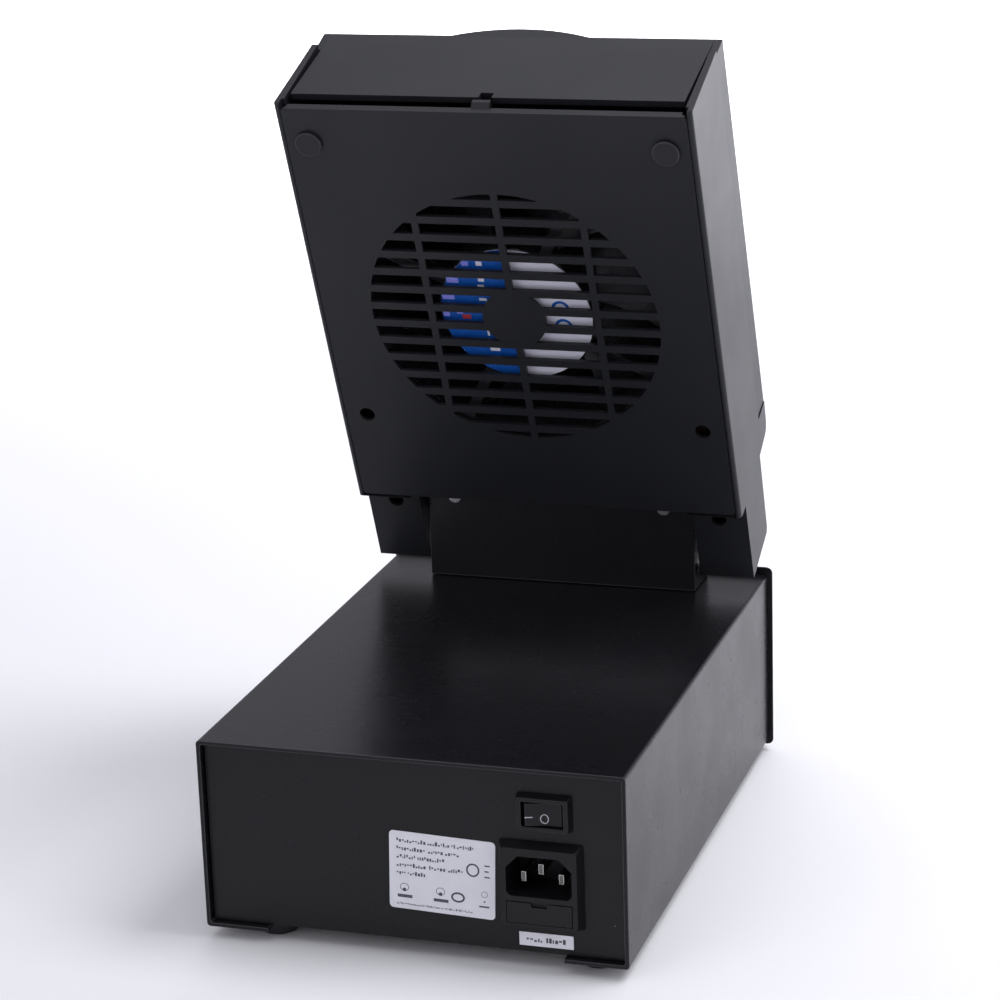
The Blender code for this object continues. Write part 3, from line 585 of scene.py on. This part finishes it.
def outer_face(node):
    """The middle of a node's outer face on the rear panel."""
    low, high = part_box(node)
    middle = (low + high) / 2
    middle.y = high.y
    return middle


def stand_in_text(bm, x, y, height, widths, draw, low, high):
    """Words of small plain blocks that stand for print without being letters."""
    for width in widths:
        end = x + width
        while x < end - 0.2 * height:
            wide = min(draw.uniform(0.24, 0.56) * height, end - x)
            foot = draw.choice((0.0, 0.0, 0.36)) * height
            tall = draw.choice((0.40, 0.72, 0.72, 1.0)) * height
            bar(bm, x, y + foot, x + wide, y + max(tall, foot + 0.3 * height), low, high)
            x += wide + draw.uniform(0.18, 0.28) * height
        x = end + height * 0.5


def rating_label():
    """Five lines of stand-in print and a foot line, and discs, rings and bars for the approval marks."""
    place = wall_matrix(outer_face("rating_label")) @ Matrix.Rotation(math.radians(LABEL_TURN), 4, "Z")
    draw = random.Random(11)
    start, height = -17.2, 1.55
    bm = bmesh.new()
    rows = ((10.9, (11.0, 8.2, 1.4, 6.4)), (7.75, (11.2, 5.6, 5.2)), (4.6, (7.2, 10.4)),
            (1.35, (11.6, 6.4, 5.6)), (-1.75, (3.4, 6.6)))
    for y, widths in rows:
        stand_in_text(bm, start, y, height, widths, draw, *PRINT_LIFT)
    stand_in_text(bm, start, -13.5, 0.8, (5.0, 5.4, 5.2, 1.0, 3.8, 2.4, 3.4), draw, *PRINT_LIFT)
    for x in (-16.9, -3.2):
        ring(bm, (x + 2.6, -6.6), (1.7, 1.5), (1.5, 1.3), *PRINT_LIFT)
        disc(bm, (x + 2.6, -7.6), 0.7, *PRINT_LIFT, 16)
        bar(bm, x, -10.7, x + 5.6, -9.5, *PRINT_LIFT)
    piece("rating_label_print", bm, place, PRINT, "base")
    bm = bmesh.new()
    ring(bm, (6.0, -8.0), (2.6, 2.0), (1.9, 1.3), *PRINT_LIFT)
    ring(bm, (11.6, 3.4), (2.5, 2.6), (1.9, 2.0), *PRINT_LIFT)
    for x0, y0, x1, y1 in ((16.0, 1.0, 18.0, 1.5), (16.0, 3.2, 17.6, 3.7), (16.0, 5.4, 18.0, 5.9),
                           (14.0, -10.7, 17.8, -10.1)):
        bar(bm, x0, y0, x1, y1, *PRINT_LIFT)
    disc(bm, (16.0, -8.4), 0.35, *PRINT_LIFT, 16)
    ring(bm, (16.0, -5.6), (1.2, 1.2), (1.05, 1.05), *PRINT_LIFT)
    piece("rating_label_bold_marks", bm, place, INK, "base")


def fuse_label():
    """Two words of stand-in print."""
    bm = bmesh.new()
    stand_in_text(bm, -7.4, -0.95, 1.9, (6.4, 7.4), random.Random(5), *PRINT_LIFT)
    piece("fuse_label_print", bm, wall_matrix(outer_face("fuse_label")), INK, "base")


def dash(bm, low, high):
    """A short bar cut into five, so that it can follow a curve."""
    step = 0.54
    for i in range(5):
        bar(bm, -1.35 + step * i, -0.18, -0.81 + step * i, 0.18, low, high)


def rocker_marks():
    """A dash for on and a ring for off, printed over the curve of the rocker."""
    faces = surface("switch_rocker")
    lift = (0.0, 0.06)
    for name, x, z in (("rocker_on_dash", -45.2, 60.5), ("rocker_off_ring", -50.7, 59.8)):
        bm = bmesh.new()
        if "dash" in name:
            dash(bm, *lift)
        else:
            ring(bm, (0.0, 0.0), (1.55, 1.8), (1.25, 1.5), *lift)
        bmesh.ops.remove_doubles(bm, verts=bm.verts, dist=0.000001)
        place = wall_matrix(Vector((x, 0.0, z)) * MM)
        for vert in bm.verts:
            start = place @ vert.co
            start.y = 0.2
            spot = faces.ray_cast(start, Vector((0, -1, 0)))[0]
            if spot is not None:
                vert.co.z += spot.y
        piece(name, bm, place, MARK, "power_rocker")


def half_disc(bm, side, radius, gap, low, high, steps=30):
    """The part of a disc on one side of a straight cut."""
    turn = math.acos(gap / radius)
    points = []
    for i in range(steps + 1):
        a = -turn + 2 * turn * i / steps
        points.append((side * radius * math.cos(a), radius * math.sin(a)))
    slab(bm, points, low, high)


STICKER_R = 30.36


def fan_place():
    """A frame on the plate over the fan's middle."""
    return head_matrix() @ Matrix.Translation((0.0, FAN_AT * MM, 0.0))


def fan_sticker():
    """The fan's sticker, seen through the grille's slots: a blue half on a silver label, with plain marks."""
    place = fan_place()
    inverse = place.inverted()
    face = min((inverse @ v.co).z for v in NODES["fan_hub_label"].data.vertices) / MM
    under = (face - 0.04, face - 0.01)
    over = (face - 0.08, face - 0.05)
    bm = bmesh.new()
    half_disc(bm, 1, STICKER_R, 0.6, *under)
    piece("fan_sticker_blue_half", bm, place, BLUE, "head")
    bm = bmesh.new()
    for x0, y0, x1, y1 in ((16.2, 22.2, 19.0, 24.4), (21.4, 14.0, 26.2, 16.8), (24.2, 6.1, 29.2, 8.1),
                           (27.4, -2.1, 30.0, 0.1), (21.9, -0.7, 24.4, 0.3)):
        bar(bm, x0, y0, x1, y1, *over)
    piece("fan_sticker_violet_patches", bm, place, VIOLET, "head")
    bm = bmesh.new()
    for x, y, wide, tall in ((11.9, 23.5, 2.4, 2.0), (12.1, 15.8, 2.4, 1.5), (12.6, 13.1, 2.6, 0.9),
                             (12.7, 6.6, 3.0, 1.2), (12.8, -9.5, 0.9, 2.6), (11.2, -17.1, 4.0, 1.9),
                             (11.2, -24.6, 4.2, 0.6)):
        bar(bm, x - wide / 2, y - tall / 2, x + wide / 2, y + tall / 2, *over)
    piece("fan_sticker_white_marks", bm, place, SILVER, "head")
    bm = bmesh.new()
    for x, y in ((-18.2, 3.7), (-18.5, -4.8)):
        ring(bm, (x, y), (3.6, 3.6), (2.4, 2.4), *over, 0.0, 180.0, 20)
    piece("fan_sticker_blue_arcs", bm, place, BLUE, "head")
    bm = bmesh.new()
    bar(bm, 18.8, -3.0, 22.3, -0.9, *over)
    piece("fan_sticker_red_mark", bm, place, RED, "head")


def grille_gate_mark():
    """The moulding gate: a small ring and a stub in the middle of the grille's hub."""
    bm = bmesh.new()
    ring(bm, (0.0, 0.0), (1.25, 1.25), (0.75, 0.75), -0.10, 0.0)
    disc(bm, (0.0, 0.0), 0.45, -0.16, 0.0, 16)
    # coloured with the lighter edge plastic: a painted highlight on the gate
    piece("grille_gate_mark", bm, fan_place(), PLASTIC_EDGE_HIGHLIGHT, "head")


# on the front panel, in mm across and up
KEY_AT = (2.0, 20.0, 38.0, 56.0)
KEY_LEGEND_Z = 17.6
SOCKET_AT = (-52.0, 33.0)
SOCKET_RING_R = 13.0
SOCKET_CLEAR = 14.0       # how far from the socket's middle the panel is bare


def front_place(x, z):
    return landing("front_bezel", (x, -300.0, z), (0, 1, 0))


def legend(name, bm, key):
    piece(name, bm, front_place(KEY_AT[key], KEY_LEGEND_Z), LEGEND, "base")


def front_legends():
    """Plain symbols under the four keys: less, more, airflow and lamp, and a ring round the iron's socket."""
    lift = LEGEND_LIFT
    bm = bmesh.new()
    bar(bm, -1.5, -0.25, 1.5, 0.25, *lift)
    legend("key_legend_less", bm, 0)
    bm = bmesh.new()
    quarter = ((1.5, -0.25), (1.5, 0.25), (0.25, 0.25))
    cross = []
    for c, s in ((1, 0), (0, 1), (-1, 0), (0, -1)):
        cross += [(c * x - s * y, s * x + c * y) for x, y in quarter]
    slab(bm, cross, *lift)
    legend("key_legend_more", bm, 1)
    bm = bmesh.new()
    disc(bm, (0.0, 0.0), 0.4, *lift, 16)
    for turn in (90, 210, 330):
        a = math.radians(turn)
        centre = (1.05 * math.cos(a), 1.05 * math.sin(a))
        ring(bm, centre, (0.85, 0.85), (0.4, 0.4), *lift, turn - 120, turn + 60, 14)
    legend("key_legend_airflow", bm, 2)
    bm = bmesh.new()
    ring(bm, (0.0, 0.0), (0.8, 0.8), (0.5, 0.5), *lift)
    ray = ((1.15, -0.12), (1.7, -0.12), (1.7, 0.12), (1.15, 0.12))
    for turn in range(0, 360, 45):
        c, s = math.cos(math.radians(turn)), math.sin(math.radians(turn))
        slab(bm, [(x * c - y * s, x * s + y * c) for x, y in ray], *lift)
    legend("key_legend_lamp", bm, 3)
    bm = bmesh.new()
    ring(bm, (0.0, 0.0), (SOCKET_RING_R,) * 2, (SOCKET_RING_R - 0.4,) * 2, *lift, 0.0, 360.0, 64)
    place = front_matrix(Vector((SOCKET_AT[0], 0.0, SOCKET_AT[1])) * MM)
    place.translation.y = front_place(SOCKET_AT[0] + SOCKET_CLEAR, SOCKET_AT[1]).translation.y
    piece("socket_printed_ring", bm, place, LEGEND, "base")


DIGIT_PITCH = 13.0
DIGIT_W = 6.0
DIGIT_H = 12.0
SEGMENT_W = 1.1


def segment(bm, x, y, half, turn):
    """One bar of a digit with pointed ends, lying across at turn 0 and upright at turn 1."""
    side = SEGMENT_W / 2
    flat = half - 0.5
    points = ((-half, 0.0), (-flat, -side), (flat, -side), (half, 0.0), (flat, side), (-flat, side))
    if turn:
        points = [(-b, a) for a, b in points]
    slab(bm, [(x + a, y + b) for a, b in points], 0.0, 0.03)


def segment_digits():
    """Three unlit seven-segment digits behind the window's tint."""
    bm = bmesh.new()
    for x in (-DIGIT_PITCH, 0.0, DIGIT_PITCH):
        for y in (-DIGIT_H / 2, 0.0, DIGIT_H / 2):
            segment(bm, x, y, DIGIT_W / 2 - 0.7, 0)
        for side in (-DIGIT_W / 2, DIGIT_W / 2):
            for y in (-DIGIT_H / 4, DIGIT_H / 4):
                segment(bm, x + side, y, 2.5, 1)
    low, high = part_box("display_lens")
    place = front_matrix(Vector(((low.x + high.x) / 2, low.y, (low.z + high.z) / 2)))
    piece("display_unlit_digits", bm, place, SEGMENT, "base")


def marks():
    rating_label()
    fuse_label()
    rocker_marks()
    fan_sticker()
    grille_gate_mark()
    front_legends()
    segment_digits()


# ---------------------------------------------------------------- studio

ROOM_LIGHT = 0.43
HORIZON_GLOW = 0.84
ROOM_TINT = (0.90, 0.90, 1.0, 1.0)
LIGHT_TINT = (0.95, 0.95, 1.0)
# name, place, aim, size, watts, spread in degrees
LIGHTS = (
    ("back_panel", (0.0, -2.9, 2.4), (0.0, -2.9, 0.0), (3.8, 2.2), 138.0, 96.0),
    ("right_floor", (-0.75, -0.15, 1.3), (-0.30, -0.20, 0.0), (0.7, 0.8), 3.4, 90.0),
    ("overhead", (0.55, -0.75, 2.3), (0.0, -0.15, 0.3), (0.9, 0.9), 1.2, 120.0),
    ("top_light", (0.0, 1.1, 1.8), (0.0, 0.6, 0.1), (1.4, 0.8), 4.0, 180.0),
    ("side_light", (-1.9, 0.2, 0.9), (0.0, 0.0, 0.15), (1.0, 1.0), 5.0, 180.0),
    ("fill_light", (1.2, 2.0, 1.0), (0.0, 0.3, 0.1), (1.4, 1.0), 8.0, 180.0),
)

CAMERA_TURN = 197.8       # degrees round the object from its front
CAMERA_RISE = 16.99
CAMERA_ROLL = -1.9
CAMERA_AT = (-0.34612, 1.07539, 0.48453)
CAMERA_LENS = 110.74


def area_light(name, at, target, size, power, spread):
    light = bpy.data.lights.new(name, "AREA")
    light.shape = "RECTANGLE"
    light.size, light.size_y = size
    light.energy = power
    light.color = LIGHT_TINT
    light.spread = math.radians(spread)
    obj = bpy.data.objects.new(name, light)
    bpy.context.scene.collection.objects.link(obj)
    obj.location = at
    obj.rotation_mode = "QUATERNION"
    obj.rotation_quaternion = (Vector(target) - Vector(at)).to_track_quat("-Z", "Y")


def floor():
    bm = bmesh.new()
    bmesh.ops.create_circle(bm, cap_ends=True, segments=96, radius=9.0)
    mesh = bpy.data.meshes.new("floor")
    bm.to_mesh(mesh)
    bm.free()
    obj = bpy.data.objects.new("floor", mesh)
    bpy.context.scene.collection.objects.link(obj)
    t = Tree("pale_floor")
    t.set(colour=t.mix(t.noise(3.0, 2.0), rgb(0.92, 0.92, 0.93), rgb(0.94, 0.94, 0.95)), rough=0.9, spec=0.2)
    mesh.materials.append(t.mat)


def surroundings():
    """A pale room, brighter low down on the far side."""
    world = bpy.data.worlds.new("studio")
    bpy.context.scene.world = world
    world.use_nodes = True
    tree = world.node_tree
    tree.nodes.clear()
    out = tree.nodes.new("ShaderNodeOutputWorld")
    background = tree.nodes.new("ShaderNodeBackground")
    where = tree.nodes.new("ShaderNodeTexCoord")
    split = tree.nodes.new("ShaderNodeSeparateXYZ")
    tree.links.new(where.outputs["Generated"], split.inputs[0])

    def ramp(value, low, high, to_low, to_high):
        node = tree.nodes.new("ShaderNodeMapRange")
        node.interpolation_type = "SMOOTHSTEP"
        tree.links.new(value, node.inputs["Value"])
        for key, number in (("From Min", low), ("From Max", high), ("To Min", to_low), ("To Max", to_high)):
            node.inputs[key].default_value = number
        return node.outputs[0]

    far = ramp(split.outputs["Y"], -0.75, 0.3, 1.0, 0.0)
    glow = ramp(split.outputs["Z"], 0.05, 0.34, HORIZON_GLOW, 0.0)
    lift = tree.nodes.new("ShaderNodeMath")
    lift.operation = "MULTIPLY_ADD"
    tree.links.new(far, lift.inputs[0])
    tree.links.new(glow, lift.inputs[1])
    lift.inputs[2].default_value = ROOM_LIGHT
    background.inputs["Color"].default_value = ROOM_TINT
    tree.links.new(lift.outputs[0], background.inputs["Strength"])
    tree.links.new(background.outputs[0], out.inputs[0])


def studio():
    floor()
    surroundings()
    for name, at, target, size, power, spread in LIGHTS:
        area_light(name, at, target, size, power, spread)


def camera():
    """The angle, distance and lens of the photograph."""
    az, el, roll = (math.radians(v) for v in (CAMERA_TURN, CAMERA_RISE, CAMERA_ROLL))
    back = Vector((math.sin(az) * math.cos(el), -math.cos(az) * math.cos(el), math.sin(el)))
    right = (-back).cross(Vector((0, 0, 1))).normalized()
    up = right.cross(-back)
    across = math.cos(roll) * right + math.sin(roll) * up
    upright = -math.sin(roll) * right + math.cos(roll) * up
    data = bpy.data.cameras.new("camera")
    data.sensor_width = 36.0
    data.lens = CAMERA_LENS
    data.clip_start, data.clip_end = 0.05, 60.0
    obj = bpy.data.objects.new("camera", data)
    bpy.context.scene.collection.objects.link(obj)
    rot = Matrix((across, upright, back)).transposed()
    obj.matrix_world = Matrix.Translation(CAMERA_AT) @ rot.to_4x4()
    bpy.context.scene.camera = obj


bpy.context.scene.view_settings.view_transform = "Standard"
camera()
finish_nodes()
marks()
studio()
